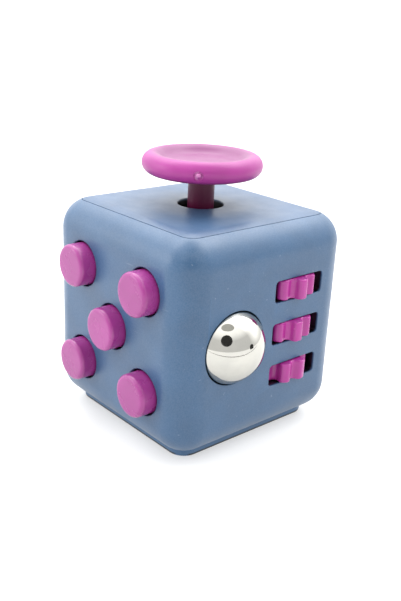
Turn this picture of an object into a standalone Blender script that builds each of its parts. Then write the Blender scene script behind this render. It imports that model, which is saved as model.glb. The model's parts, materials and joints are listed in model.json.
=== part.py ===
"""Fidget cube: a desk toy with a small mechanism in each face of a moulded cube.

Sizes below are in millimetres, and finish() scales each mesh to metres. The origin is the middle of the
base, with +Z up. The -Y face holds five press buttons, the +X face a click ball and three thumb gears,
the top a joystick, the +Y face a rocker switch, the -X face a dial and the base a thumb hollow.
"""

import math

import bmesh
import bpy
from mathutils import Matrix, Vector

MM = 0.001
WELD = 0.0005  # points closer than this are one point after a Boolean

# Cube shell
SIDE = 33.0
HALF = SIDE / 2
EDGE_RADIUS = 4.75
WALL = 2.0
INNER = HALF - WALL
INNER_CORNER = 2.75
BASE_STEP = 0.95  # how far the bottom cover stands below the shell, whose lower face is at zero

# Fits
REST_GAP = 0.3  # between pieces that sit on each other
FIT_GAP = 0.15  # radial, between a pin and its hole

# Covers
COVER_HALF = 13.5
COVER_CORNER = 1.8
BASE_CORNER = 2.6
COVER_SEAM = 0.12
COVER_THICKNESS = 1.9
PEG_RADIUS = 0.95
PEG_PLACE = 12.0
PEG_LENGTH = 2.5
GUSSET_INNER = 10.3
GUSSET_DEPTH = 2.5
THUMB_RADIUS = 9.5
THUMB_DEPTH = 1.9

# Joystick in the top face
STICK_HOLE = 3.56
STICK_RADIUS = 2.04
DISC_RADIUS = 9.19
RIM_RADIUS = 1.6
RIM_Z = 39.2
DISH_Z = 39.6
DISC_UNDERSIDE = 37.95
PIVOT_Z = 26.0
PIVOT_RADIUS = 3.0
STICK_PEG = 1.1
SPRING_FLOOR_Z = 19.4
SOCKET_TOP = 27.3
SOCKET_OUTER = 4.1
SHIELD_INNER = 3.8
SHIELD_OUTER = 4.3
SOCKET_SCREW_Y = 7.6
EAR_THICKNESS = 1.5

# Press buttons in the -Y face
BUTTON_PITCH_X = 7.63
BUTTON_PITCH_Z = 7.73
BUTTON_Z = 16.35
BUTTON_RADIUS = 3.25
BUTTON_HOLE = 3.5
BUTTON_FRONT = 18.84
BUTTON_FILLET = 0.49
FLANGE_RADIUS = 3.9
FLANGE_REAR = 13.3
BUTTON_PLATE_FRONT = 10.7
BUTTON_PLATE_REAR = 9.9
SNAP_PAD = 1.3  # height of the pads under the snap domes

# Click ball in the +X face
BALL_RADIUS = 5.8
BALL_SEAT = 5.95
BALL_CUT = 5.92
BALL_CENTRE = (14.4, -6.76, 16.32)
CUP_OUTER = 6.6
CUP_FLANGE = 7.0
CUP_REAR = 7.6
CUP_STUB = 1.6
RING_OUTER = 6.35

# Thumb gears in the +X face
GEAR_AXIS = (13.3, 5.7)
GEAR_TIP = 4.7
GEAR_ROOT = 3.5
GEAR_TEETH = 8
GEAR_THICKNESS = 3.1
GEAR_PHASES = (-3.0, -6.0, 17.0)
SLOT_HALF_WIDTH = 4.755
SLOT_HALF_HEIGHT = 1.68
SLOT_CORNER = 0.6
SLOT_PITCH = 6.7
SLOT_TOP_Z = 23.115
AXLE_RADIUS = 0.65
GEAR_POCKET = 15.2  # the wall is thinned to this plane behind the slots

# Bracket that carries the ball spring and the gear axle
BRACKET_REAR = 4.6
BRACKET_FRONT = 5.8
BRACKET_POSTS = ((-4.2, 26.2), (12.4, 26.2), (12.4, 6.4), (-4.2, 6.4))
POST_RADIUS = 1.6
ARM_TOP_Z = 26.35
ARM_BOTTOM_Z = 6.35
ARM_THICKNESS = 1.5
COMB_SCREW = (10.6, 13.07)

# Rocker switch in the +Y face
ROCKER_AXIS = (13.0, 16.5)
ROCKER_HALF_WIDTH = 3.0
ROCKER_HALF_LENGTH = 4.8
ROCKER_TILT = 12.0
ROCKER_OPENING = (3.3, 6.0)
ROCKER_CROWN = 4.9  # from the pin to the raised ends
ROCKER_NOSE = 2.3  # from the pin to the cam's nose
HOUSING_HALF_WIDTH = 4.2
HOUSING_HALF_LENGTH = 7.0
HOUSING_REAR = 8.6
HOUSING_FRONT = 14.2
HOUSING_SCREW_Z = 8.9

# Dial in the -X face
DIAL_RADIUS = 7.6
DIAL_RECESS = 7.9
DIAL_RECESS_DEPTH = 0.9
DIAL_Z = 16.5
DIAL_SHAFT = 2.0
DIAL_FRONT = 18.2
NUB_OFFSET = 4.8
NUB_RADIUS = 1.5
NUB_FRONT = 20.2

# Screws
SCREW_RADIUS = 0.7
SCREW_HOLE = 0.85
SCREW_HEAD = 1.4
SCREW_HEAD_HEIGHT = 0.7

# Facets round a full turn
COARSE = 10
MEDIUM = 16
FINE = 24

SHELL_BLUE = (0.13, 0.22, 0.35)
MAGENTA = (0.47, 0.08, 0.36)
BLACK = (0.02, 0.02, 0.022)
GREY = (0.28, 0.29, 0.31)
RUBBER = (0.55, 0.55, 0.52)
STEEL = (0.55, 0.55, 0.56)
CHROME = (0.8, 0.79, 0.77)


# --- Shapes -----------------------------------------------------------------------------------------


def towards(axis, centre):
    """The placement that turns local +Z to the axis and puts local zero at the centre."""
    turn = Vector((0, 0, 1)).rotation_difference(Vector(axis)).to_matrix().to_4x4()
    return Matrix.Translation(Vector(centre)) @ turn


def loft(bm, loops, capped=True):
    """Joins equal loops of points into a tube, and closes its ends unless it is a ring."""
    rings = [[bm.verts.new(point) for point in loop] for loop in loops]
    pairs = list(zip(rings, rings[1:]))
    if not capped:
        pairs.append((rings[-1], rings[0]))
    for low, high in pairs:
        for i in range(len(low)):
            j = (i + 1) % len(low)
            bm.faces.new((low[i], low[j], high[j], high[i]))
    if capped:
        bm.faces.new(list(reversed(rings[0])))
        bm.faces.new(rings[-1])


def turned(bm, profile, centre, axis, facets=MEDIUM):
    """A solid of revolution: profile lists (radius, height), and runs from axis to axis or is a loop."""
    place = towards(axis, centre)
    hollow = min(radius for radius, height in profile) > 0
    rings = []
    for radius, height in profile:
        if radius == 0:
            rings.append([bm.verts.new(place @ Vector((0, 0, height)))])
            continue
        ring = []
        for i in range(facets):
            angle = math.tau * i / facets
            point = Vector((radius * math.cos(angle), radius * math.sin(angle), height))
            ring.append(bm.verts.new(place @ point))
        rings.append(ring)
    pairs = list(zip(rings, rings[1:]))
    if hollow:
        pairs.append((rings[-1], rings[0]))
    for low, high in pairs:
        for i in range(facets):
            j = (i + 1) % facets
            if len(low) == 1:
                bm.faces.new((low[0], high[j], high[i]))
            elif len(high) == 1:
                bm.faces.new((low[i], low[j], high[0]))
            else:
                bm.faces.new((low[i], low[j], high[j], high[i]))


def cylinder(bm, radius, start, end, facets=MEDIUM):
    """A round bar between two points."""
    along = Vector(end) - Vector(start)
    profile = [(0, 0), (radius, 0), (radius, along.length), (0, along.length)]
    turned(bm, profile, start, along, facets)


def prism(bm, outline, axis, low, high):
    """An outline of (u, v) points extruded along X, Y or Z; u and v are the other two, in order."""
    order = {"X": (2, 0, 1), "Y": (0, 2, 1), "Z": (0, 1, 2)}[axis]
    loops = []
    for level in (low, high):
        loops.append([Vector((u, v, level)[k] for k in order) for u, v in outline])
    loft(bm, loops)


def box(bm, low, high):
    """A block between two corners."""
    outline = [(low[0], low[1]), (high[0], low[1]), (high[0], high[1]), (low[0], high[1])]
    prism(bm, outline, "Z", low[2], high[2])


def arc(centre_u, centre_v, radius, start, end, steps):
    """Points along an arc, with angles in degrees."""
    points = []
    for i in range(steps + 1):
        angle = math.radians(start + (end - start) * i / steps)
        points.append((centre_u + radius * math.cos(angle), centre_v + radius * math.sin(angle)))
    return points


def rounded_rectangle(half_u, half_v, radius, centre=(0, 0), steps=4):
    """A rectangle's outline with round corners."""
    outline = []
    corners = ((1, 1, 0), (-1, 1, 90), (-1, -1, 180), (1, -1, 270))
    for side_u, side_v, start in corners:
        corner_u = centre[0] + side_u * (half_u - radius)
        corner_v = centre[1] + side_v * (half_v - radius)
        outline += arc(corner_u, corner_v, radius, start, start + 90, steps)
    return outline


def rounded_block(bm, low, high, radius, segments=4):
    """A block with every edge and corner rounded."""
    box(bm, low, high)
    bmesh.ops.recalc_face_normals(bm, faces=bm.faces)
    bmesh.ops.bevel(
        bm,
        geom=bm.edges[:],
        offset=radius,
        offset_type="OFFSET",
        segments=segments,
        profile=0.5,
        affect="EDGES",
        clamp_overlap=False,
    )


def coil(bm, centre, axis, radius, wire, length, turns, steps=9, sides=5):
    """A helical spring of round wire from the centre along the axis."""
    place = towards(axis, centre)
    rise = (length - 2 * wire) / (turns * math.tau)
    loops = []
    count = int(turns * steps)
    for i in range(count + 1):
        angle = math.tau * turns * i / count
        out = Vector((math.cos(angle), math.sin(angle), 0))
        along = Vector((-math.sin(angle) * radius, math.cos(angle) * radius, rise)).normalized()
        across = out.cross(along)
        middle = out * radius + Vector((0, 0, wire + rise * angle))
        loop = []
        for k in range(sides):
            around = math.tau * k / sides
            loop.append(place @ (middle + wire * (math.cos(around) * out + math.sin(around) * across)))
        loops.append(loop)
    loft(bm, loops)


# --- Objects ----------------------------------------------------------------------------------------


def solid(name, bm):
    """Turns a mesh into an object, still in millimetres until finish() scales it."""
    bmesh.ops.recalc_face_normals(bm, faces=bm.faces)
    mesh = bpy.data.meshes.new(name)
    bm.to_mesh(mesh)
    bm.free()
    obj = bpy.data.objects.new(name, mesh)
    bpy.context.scene.collection.objects.link(obj)
    return obj


def combine(target, bm, operation):
    """Cuts, joins or intersects the target with a second mesh."""
    tool = solid("tool", bm)
    modifier = target.modifiers.new("combine", "BOOLEAN")
    modifier.operation = operation
    modifier.solver = "EXACT"
    modifier.object = tool
    bpy.context.view_layer.update()
    shaped = target.evaluated_get(bpy.context.evaluated_depsgraph_get())
    mesh = bpy.data.meshes.new_from_object(shaped)
    target.modifiers.remove(modifier)
    target.data = mesh
    bpy.data.objects.remove(tool)
    clean = bmesh.new()
    clean.from_mesh(mesh)
    bmesh.ops.remove_doubles(clean, verts=clean.verts, dist=WELD)
    bmesh.ops.dissolve_degenerate(clean, edges=clean.edges, dist=WELD)
    clean.to_mesh(mesh)
    clean.free()


def cut(target, bm):
    combine(target, bm, "DIFFERENCE")


def join(target, bm):
    combine(target, bm, "UNION")


def finish(obj, colour, roughness=0.45, metallic=0.0, origin=None):
    """Stands the piece on its base in metres, and gives it its material and its origin on its axis."""
    lift = Vector((0, 0, BASE_STEP))
    obj.data.transform(Matrix.Scale(MM, 4) @ Matrix.Translation(lift))
    obj.data.name = obj.name
    obj.data.shade_smooth()
    obj.data.set_sharp_from_angle(angle=math.radians(35))
    material = bpy.data.materials.new(obj.name)
    material.use_nodes = True
    shader = material.node_tree.nodes["Principled BSDF"]
    shader.inputs["Base Color"].default_value = (*colour, 1)
    shader.inputs["Roughness"].default_value = roughness
    shader.inputs["Metallic"].default_value = metallic
    obj.data.materials.clear()
    obj.data.materials.append(material)
    if origin is not None:
        place = (Vector(origin) + lift) * MM
        obj.data.transform(Matrix.Translation(-place))
        obj.location = place
    return obj


def screw(name, head, axis, length):
    """A pan-head screw: head is the middle of the head's seat, and the shank runs along the axis."""
    bm = bmesh.new()
    profile = [(0, -SCREW_HEAD_HEIGHT), (0.7 * SCREW_HEAD, -SCREW_HEAD_HEIGHT)]
    profile += [(SCREW_HEAD, -0.5 * SCREW_HEAD_HEIGHT), (SCREW_HEAD, 0)]
    profile += [(SCREW_RADIUS, 0), (SCREW_RADIUS, length - SCREW_RADIUS), (0, length)]
    turned(bm, profile, head, axis, COARSE)
    return finish(solid(name, bm), STEEL, 0.3, 1.0)


def button_places():
    """The quincunx of button centres: name, x and z."""
    return (
        ("upper_left", -BUTTON_PITCH_X, BUTTON_Z + BUTTON_PITCH_Z),
        ("upper_right", BUTTON_PITCH_X, BUTTON_Z + BUTTON_PITCH_Z),
        ("centre", 0.0, BUTTON_Z),
        ("lower_left", -BUTTON_PITCH_X, BUTTON_Z - BUTTON_PITCH_Z),
        ("lower_right", BUTTON_PITCH_X, BUTTON_Z - BUTTON_PITCH_Z),
    )


SNAP_BUTTONS = ("upper_left", "centre", "lower_right")
BUTTON_SCREWS = ((0.0, 24.4), (0.0, 8.3), (-8.6, BUTTON_Z))
GEAR_LEVELS = tuple(SLOT_TOP_Z - SLOT_PITCH * i for i in range(3))


# --- Shell and covers -------------------------------------------------------------------------------


def corner_signs():
    return ((1, 1), (-1, 1), (-1, -1), (1, -1))


def body_shell():
    bm = bmesh.new()
    rounded_block(bm, (-HALF, -HALF, 0), (HALF, HALF, SIDE), EDGE_RADIUS)
    shell = solid("body_shell", bm)
    upper = SIDE - COVER_THICKNESS - REST_GAP
    lower = COVER_THICKNESS + REST_GAP
    bm = bmesh.new()
    prism(bm, rounded_rectangle(INNER, INNER, INNER_CORNER), "Z", lower, upper)
    cut(shell, bm)
    bm = bmesh.new()
    opening = COVER_HALF + COVER_SEAM
    prism(bm, rounded_rectangle(opening, opening, COVER_CORNER + COVER_SEAM), "Z", HALF, SIDE + 1)
    cut(shell, bm)
    bm = bmesh.new()
    prism(bm, rounded_rectangle(opening, opening, BASE_CORNER + COVER_SEAM), "Z", -1, HALF)
    cut(shell, bm)
    gussets(shell, upper - GUSSET_DEPTH, upper)
    gussets(shell, lower, lower + GUSSET_DEPTH)
    button_wall(shell)
    roll_wall(shell)
    rocker_wall(shell)
    dial_wall(shell)
    return finish(shell, SHELL_BLUE, 0.42)


def gussets(shell, low, high):
    """Corner blocks that the cover pegs press into."""
    bm = bmesh.new()
    outer = INNER + 0.25
    for side_x, side_y in corner_signs():
        corner = [(GUSSET_INNER, GUSSET_INNER + 2), (GUSSET_INNER + 2, GUSSET_INNER)]
        corner += [(outer, GUSSET_INNER), (outer, outer - 1.5)]
        corner += [(outer - 1.5, outer), (GUSSET_INNER, outer)]
        prism(bm, [(side_x * x, side_y * y) for x, y in corner], "Z", low, high)
    join(shell, bm)
    bm = bmesh.new()
    for side_x, side_y in corner_signs():
        x = side_x * PEG_PLACE
        y = side_y * PEG_PLACE
        cylinder(bm, PEG_RADIUS + FIT_GAP, (x, y, low - 1), (x, y, high + 1), COARSE)
    cut(shell, bm)


def button_wall(shell):
    """Five button holes and three screw bosses in the -Y wall."""
    boss_end = BUTTON_PLATE_FRONT + REST_GAP
    bm = bmesh.new()
    for x, z in BUTTON_SCREWS:
        cylinder(bm, POST_RADIUS, (x, -boss_end, z), (x, -INNER - 0.5, z), COARSE)
    join(shell, bm)
    bm = bmesh.new()
    for x, z in BUTTON_SCREWS:
        cylinder(bm, SCREW_HOLE, (x, -boss_end + 1, z), (x, -INNER - 0.7, z), COARSE)
    for name, x, z in button_places():
        cylinder(bm, BUTTON_HOLE, (x, -HALF - 1, z), (x, -INNER + 1, z), FINE)
    cut(shell, bm)


def roll_wall(shell):
    """The ball's opening, the gear slots and the bracket's posts in the +X wall."""
    bm = bmesh.new()
    middle_z = GEAR_LEVELS[1]
    pocket = rounded_rectangle(SLOT_HALF_WIDTH + 0.3, 11.1, 0.5, (GEAR_AXIS[1], middle_z), 2)
    prism(bm, pocket, "X", INNER - 1, GEAR_POCKET)
    cut(shell, bm)
    bm = bmesh.new()
    for y, z in BRACKET_POSTS:
        cylinder(bm, POST_RADIUS, (BRACKET_FRONT + REST_GAP, y, z), (INNER + 0.5, y, z), COARSE)
    join(shell, bm)
    bm = bmesh.new()
    for y, z in BRACKET_POSTS:
        cylinder(bm, SCREW_HOLE, (BRACKET_FRONT - 1, y, z), (INNER + 0.3, y, z), COARSE)
    profile = [(max(u, 0.0), v) for v, u in arc(0, 0, BALL_CUT, 0, 180, 14)]
    profile[0] = (0, BALL_CUT)
    profile[-1] = (0, -BALL_CUT)
    turned(bm, profile, BALL_CENTRE, (1, 0, 0), FINE)
    cut(shell, bm)
    bm = bmesh.new()
    for level in GEAR_LEVELS:
        slot = rounded_rectangle(SLOT_HALF_WIDTH, SLOT_HALF_HEIGHT, SLOT_CORNER, (GEAR_AXIS[1], level), 3)
        prism(bm, slot, "X", INNER, HALF + 1)
    cut(shell, bm)


def rocker_wall(shell):
    """The rocker's opening and two screw bosses in the +Y wall."""
    bm = bmesh.new()
    for side in (-1, 1):
        z = ROCKER_AXIS[1] + side * HOUSING_SCREW_Z
        cylinder(bm, POST_RADIUS, (0, HOUSING_FRONT - 0.6, z), (0, INNER + 0.5, z), COARSE)
    join(shell, bm)
    bm = bmesh.new()
    for side in (-1, 1):
        z = ROCKER_AXIS[1] + side * HOUSING_SCREW_Z
        cylinder(bm, SCREW_HOLE, (0, HOUSING_FRONT - 2, z), (0, INNER + 1, z), COARSE)
    opening = rounded_rectangle(*ROCKER_OPENING, 0.8, (0, ROCKER_AXIS[1]), 3)
    prism(bm, opening, "Y", INNER - 1, HALF + 1)
    cut(shell, bm)


def dial_wall(shell):
    """The dial's recess and its bearing in the -X wall."""
    bm = bmesh.new()
    cylinder(bm, 3.6, (-INNER - 0.5, 0, DIAL_Z), (-INNER + 1.1, 0, DIAL_Z), MEDIUM)
    join(shell, bm)
    bm = bmesh.new()
    floor = HALF - DIAL_RECESS_DEPTH
    cylinder(bm, DIAL_RECESS, (-HALF - 1, 0, DIAL_Z), (-floor, 0, DIAL_Z), FINE)
    cut(shell, bm)
    bm = bmesh.new()
    cylinder(bm, DIAL_SHAFT + FIT_GAP, (-HALF - 1, 0, DIAL_Z), (-INNER + 3, 0, DIAL_Z), MEDIUM)
    cut(shell, bm)


def cover_pegs(cover, start, end):
    bm = bmesh.new()
    for side_x, side_y in corner_signs():
        x = side_x * PEG_PLACE
        y = side_y * PEG_PLACE
        cylinder(bm, PEG_RADIUS, (x, y, start), (x, y, end), COARSE)
    join(cover, bm)


def top_cover():
    bm = bmesh.new()
    rounded_block(bm, (-HALF, -HALF, 0), (HALF, HALF, SIDE), EDGE_RADIUS)
    cover = solid("top_cover", bm)
    underside = SIDE - COVER_THICKNESS
    bm = bmesh.new()
    prism(bm, rounded_rectangle(COVER_HALF, COVER_HALF, COVER_CORNER), "Z", underside, SIDE + 1)
    combine(cover, bm, "INTERSECT")
    cover_pegs(cover, underside + 0.5, underside - PEG_LENGTH)
    bm = bmesh.new()
    for side in (-1, 1):
        y = side * SOCKET_SCREW_Y
        cylinder(bm, POST_RADIUS, (0, y, SOCKET_TOP + REST_GAP), (0, y, underside + 0.5), COARSE)
    join(cover, bm)
    bm = bmesh.new()
    for side in (-1, 1):
        y = side * SOCKET_SCREW_Y
        cylinder(bm, SCREW_HOLE, (0, y, SOCKET_TOP - 1), (0, y, underside + 0.4), COARSE)
    cylinder(bm, STICK_HOLE, (0, 0, underside - 1), (0, 0, SIDE + 1), FINE)
    cut(cover, bm)
    return finish(cover, SHELL_BLUE, 0.42)


def bottom_cover():
    """The plate that the cube stands on, with a shallow hollow for the thumb under it."""
    bm = bmesh.new()
    outline = rounded_rectangle(COVER_HALF, COVER_HALF, BASE_CORNER)
    prism(bm, outline, "Z", -BASE_STEP, COVER_THICKNESS)
    cover = solid("bottom_cover", bm)
    cover_pegs(cover, COVER_THICKNESS - 0.5, COVER_THICKNESS + PEG_LENGTH)
    bm = bmesh.new()
    sphere = (THUMB_RADIUS**2 + THUMB_DEPTH**2) / (2 * THUMB_DEPTH)
    crown = THUMB_DEPTH - BASE_STEP
    brim = THUMB_RADIUS + 0.4
    hollow = [(0, -BASE_STEP - 1), (brim, -BASE_STEP - 1)]
    for i in range(8):
        radius = brim * (1 - i / 7)
        hollow.append((radius, crown - sphere + math.sqrt(sphere**2 - radius**2)))
    turned(bm, hollow, (0, 0, 0), (0, 0, 1), FINE)
    cut(cover, bm)
    return finish(cover, SHELL_BLUE, 0.42)


# --- Joystick ---------------------------------------------------------------------------------------


def joystick():
    rim_centre = DISC_RADIUS - RIM_RADIUS
    peg_end = PIVOT_Z - 0.5
    shoulder = PIVOT_Z + PIVOT_RADIUS - 0.1
    profile = [(0, peg_end), (STICK_PEG, peg_end), (STICK_PEG, shoulder), (STICK_RADIUS, shoulder)]
    profile += [(STICK_RADIUS, DISC_UNDERSIDE - 0.5), (STICK_RADIUS + 0.5, DISC_UNDERSIDE)]
    profile += arc(rim_centre, RIM_Z, RIM_RADIUS, -129, 120, 8)
    profile += [(rim_centre - 1.6, DISH_Z + 0.15), (rim_centre - 2.4, DISH_Z), (0, DISH_Z)]
    bm = bmesh.new()
    turned(bm, profile, (0, 0, 0), (0, 0, 1), FINE)
    return finish(solid("joystick", bm), MAGENTA, 0.38, origin=(0, 0, PIVOT_Z))


def joystick_base():
    """The pivot ball pressed on the stick's peg."""
    profile = arc(0, PIVOT_Z, PIVOT_RADIUS, -55, 60, 5)
    profile = [(0, profile[0][1])] + profile + [(0, profile[-1][1])]
    bm = bmesh.new()
    turned(bm, profile, (0, 0, 0), (0, 0, 1), MEDIUM)
    base = solid("joystick_base", bm)
    bm = bmesh.new()
    cylinder(bm, STICK_PEG + FIT_GAP, (0, 0, PIVOT_Z - 0.8), (0, 0, PIVOT_Z + 4), COARSE)
    cut(base, bm)
    return finish(base, BLACK, 0.4, origin=(0, 0, PIVOT_Z))


def joystick_shield():
    """A domed dust shield round the stick, with a slot for the stick's sideways tilt."""
    outer = arc(0, PIVOT_Z, SHIELD_OUTER, 32, 57, 4)
    inner = arc(0, PIVOT_Z, SHIELD_INNER, 57, 32, 4)
    bm = bmesh.new()
    turned(bm, outer + inner, (0, 0, 0), (0, 0, 1), FINE)
    shield = solid("joystick_shield", bm)
    clear = STICK_RADIUS + 0.26
    reach = clear + 0.6
    bm = bmesh.new()
    prism(bm, rounded_rectangle(reach, clear, clear - 0.01, steps=6), "Z", PIVOT_Z, SIDE)
    cut(shield, bm)
    return finish(shield, BLACK, 0.5, origin=(0, 0, PIVOT_Z))


def joystick_socket():
    """The cup that holds the pivot ball, with two ears screwed to the top cover."""
    bore = PIVOT_RADIUS + 0.2
    waist = PIVOT_Z - 2.6
    top_angle = math.degrees(math.asin((SOCKET_TOP - PIVOT_Z) / bore))
    end = SPRING_FLOOR_Z - 0.8
    profile = [(0, end), (3.2, end), (3.2, waist - 0.6), (SOCKET_OUTER, waist)]
    profile += [(SOCKET_OUTER, SOCKET_TOP)]
    profile += arc(0, PIVOT_Z, bore, top_angle, -48, 5)
    profile += [(bore * math.cos(math.radians(48)), SPRING_FLOOR_Z), (0, SPRING_FLOOR_Z)]
    bm = bmesh.new()
    turned(bm, profile, (0, 0, 0), (0, 0, 1), MEDIUM)
    socket = solid("joystick_socket", bm)
    bm = bmesh.new()
    ear_end = SOCKET_SCREW_Y + 1.8
    ear_floor = SOCKET_TOP - EAR_THICKNESS
    for low, high in ((-ear_end, -SOCKET_OUTER + 0.5), (SOCKET_OUTER - 0.5, ear_end)):
        box(bm, (-1.8, low, ear_floor), (1.8, high, SOCKET_TOP - 0.05))
    join(socket, bm)
    bm = bmesh.new()
    for side in (-1, 1):
        y = side * SOCKET_SCREW_Y
        cylinder(bm, SCREW_HOLE, (0, y, ear_floor - 1), (0, y, SOCKET_TOP + 1), COARSE)
    cut(socket, bm)
    return finish(socket, BLACK, 0.5)


def joystick_parts():
    joystick()
    joystick_base()
    joystick_shield()
    joystick_socket()
    bm = bmesh.new()
    floor = SPRING_FLOOR_Z + 0.2
    top = PIVOT_Z - PIVOT_RADIUS * math.sin(math.radians(55)) - 0.2
    coil(bm, (0, 0, floor), (0, 0, 1), 1.55, 0.22, top - floor, 4)
    finish(solid("joystick_spring", bm), STEEL, 0.3, 1.0)
    head_z = SOCKET_TOP - EAR_THICKNESS - REST_GAP
    for name, side in (("front", -1), ("rear", 1)):
        screw(f"joystick_screw_{name}", (0, side * SOCKET_SCREW_Y, head_z), (0, 0, 1), 5.0)


# --- Buttons ----------------------------------------------------------------------------------------


def button_cap(name, x, z):
    """A hollow cap with a retaining flange and a central plunger; it presses inwards along +Y."""
    height = BUTTON_FRONT - FLANGE_REAR
    profile = [(0, -0.2), (0.7, -0.2), (0.7, 4.0), (2.3, 4.0), (2.3, 0), (FLANGE_RADIUS, 0)]
    profile += [(FLANGE_RADIUS, 0.9), (BUTTON_RADIUS, 0.9)]
    profile += arc(BUTTON_RADIUS - BUTTON_FILLET, height - BUTTON_FILLET, BUTTON_FILLET, 0, 90, 2)
    profile += [(0, height)]
    bm = bmesh.new()
    turned(bm, profile, (x, -FLANGE_REAR, z), (0, -1, 0), MEDIUM)
    return finish(solid(f"button_{name}", bm), MAGENTA, 0.35, origin=(x, -FLANGE_REAR, z))


def button_dome(name, x, z):
    """A silicone dome, or a steel snap dome on its pad, under each cap."""
    snap = name in SNAP_BUTTONS
    if snap:
        base = BUTTON_PLATE_FRONT + SNAP_PAD + 0.2
        profile = [(0, 0.65), (1.3, 0.5), (2.3, 0), (2.6, 0), (2.6, 0.15), (1.4, 0.65), (0, 0.8)]
    else:
        base = BUTTON_PLATE_FRONT + REST_GAP
        profile = [(0, 1.6), (1.1, 1.45), (2.2, 0), (3.0, 0), (3.0, 0.3), (2.4, 0.3)]
        profile += [(1.4, 1.9), (0, 2.1)]
    bm = bmesh.new()
    turned(bm, profile, (x, -base, z), (0, -1, 0), COARSE)
    dome = solid(f"dome_{name}", bm)
    if snap:
        return finish(dome, STEEL, 0.3, 1.0)
    return finish(dome, RUBBER, 0.6)


def button_plate():
    """The backing plate, cut round the ball's cup, with pads under the snap domes."""
    bm = bmesh.new()
    outline = rounded_rectangle(11.4, 11.2, 1.5, (0, BUTTON_Z), 3)
    prism(bm, outline, "Y", -BUTTON_PLATE_FRONT, -BUTTON_PLATE_REAR)
    plate = solid("button_plate", bm)
    bm = bmesh.new()
    for name, x, z in button_places():
        if name in SNAP_BUTTONS:
            front = -BUTTON_PLATE_FRONT - SNAP_PAD
            cylinder(bm, 2.8, (x, -BUTTON_PLATE_FRONT + 0.3, z), (x, front, z), COARSE)
    join(plate, bm)
    bm = bmesh.new()
    centre_y = BALL_CENTRE[1]
    centre_z = BALL_CENTRE[2]
    cylinder(bm, CUP_OUTER - 1.4, (6.2, centre_y, centre_z), (9.6, centre_y, centre_z), FINE)
    cut(plate, bm)
    bm = bmesh.new()
    cylinder(bm, CUP_FLANGE + REST_GAP, (9.5, centre_y, centre_z), (13, centre_y, centre_z), FINE)
    for x, z in BUTTON_SCREWS:
        cylinder(bm, SCREW_HOLE, (x, -BUTTON_PLATE_FRONT - 1, z), (x, -BUTTON_PLATE_REAR + 1, z), COARSE)
    cut(plate, bm)
    return finish(plate, GREY, 0.5)


def button_parts():
    for name, x, z in button_places():
        button_cap(name, x, z)
        button_dome(name, x, z)
    button_plate()
    for index, (x, z) in enumerate(BUTTON_SCREWS, 1):
        head = (x, -BUTTON_PLATE_REAR + REST_GAP, z)
        screw(f"button_plate_screw_{index}", head, (0, -1, 0), 4.6)


# --- Ball -------------------------------------------------------------------------------------------


def seat_radius(radius, behind):
    """The radius of a sphere's section at a distance behind its centre."""
    return math.sqrt(radius**2 - behind**2)


def ball_parts():
    """The ball, its seat ring, its sliding cup and the cup's spring, all on one axis along X."""
    centre_x, centre_y, centre_z = BALL_CENTRE
    bm = bmesh.new()
    profile = [(max(u, 0.0), v) for v, u in arc(0, 0, BALL_RADIUS, 180, 0, 12)]
    profile[0] = (0, -BALL_RADIUS)
    profile[-1] = (0, BALL_RADIUS)
    turned(bm, profile, BALL_CENTRE, (1, 0, 0), FINE)
    finish(solid("click_ball", bm), CHROME, 0.08, 1.0, origin=BALL_CENTRE)

    bm = bmesh.new()
    inner = [(seat_radius(BALL_SEAT, behind), -behind) for behind in (1.0, 1.6, 2.2)]
    ring = inner + [(RING_OUTER, -2.2), (RING_OUTER, -1.0)]
    turned(bm, ring, BALL_CENTRE, (1, 0, 0), FINE)
    finish(solid("ball_ring", bm), BLACK, 0.35, origin=BALL_CENTRE)

    rear = centre_x - CUP_REAR
    mouth = 0.8
    step = 2.5
    rim = 3.0
    profile = [(0, -rear - 3.7), (CUP_STUB, -rear - 3.7), (CUP_STUB, -rear + 0.55), (2.8, -rear + 0.55)]
    profile += [(2.8, -rear), (3.3, -rear)]
    profile += [(seat_radius(CUP_OUTER, behind), -behind) for behind in (5.7, 5.0, 4.2, rim)]
    profile += [(CUP_FLANGE, -rim), (CUP_FLANGE, -mouth), (RING_OUTER + FIT_GAP, -mouth)]
    profile += [(RING_OUTER + FIT_GAP, -step)]
    profile += [(seat_radius(BALL_SEAT, behind), -behind) for behind in (step, 3.3, 4.1, 4.9, 5.5)]
    profile += [(0, -BALL_SEAT)]
    bm = bmesh.new()
    turned(bm, profile, BALL_CENTRE, (1, 0, 0), FINE)
    finish(solid("ball_cup", bm), BLACK, 0.45, origin=BALL_CENTRE)

    bm = bmesh.new()
    start = (BRACKET_FRONT + 0.2, centre_y, centre_z)
    coil(bm, start, (1, 0, 0), 2.2, 0.22, CUP_REAR + 0.35 - BRACKET_FRONT - 0.2, 3)
    finish(solid("ball_spring", bm), STEEL, 0.3, 1.0)


# --- Gears and their bracket ------------------------------------------------------------------------


def gear_outline(phase, inset=0.0):
    """Rounded teeth: the radius swings between root and tip, flattened at both."""
    middle = (GEAR_TIP + GEAR_ROOT) / 2
    swing = (GEAR_TIP - GEAR_ROOT) / 2
    flatness = 1.6
    count = GEAR_TEETH * 6
    outline = []
    for i in range(count):
        angle = math.tau * i / count
        wave = math.tanh(flatness * math.cos(GEAR_TEETH * angle)) / math.tanh(flatness)
        radius = middle + swing * wave - inset
        turn = angle + math.radians(phase)
        outline.append((GEAR_AXIS[0] + radius * math.cos(turn), GEAR_AXIS[1] + radius * math.sin(turn)))
    return outline


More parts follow.
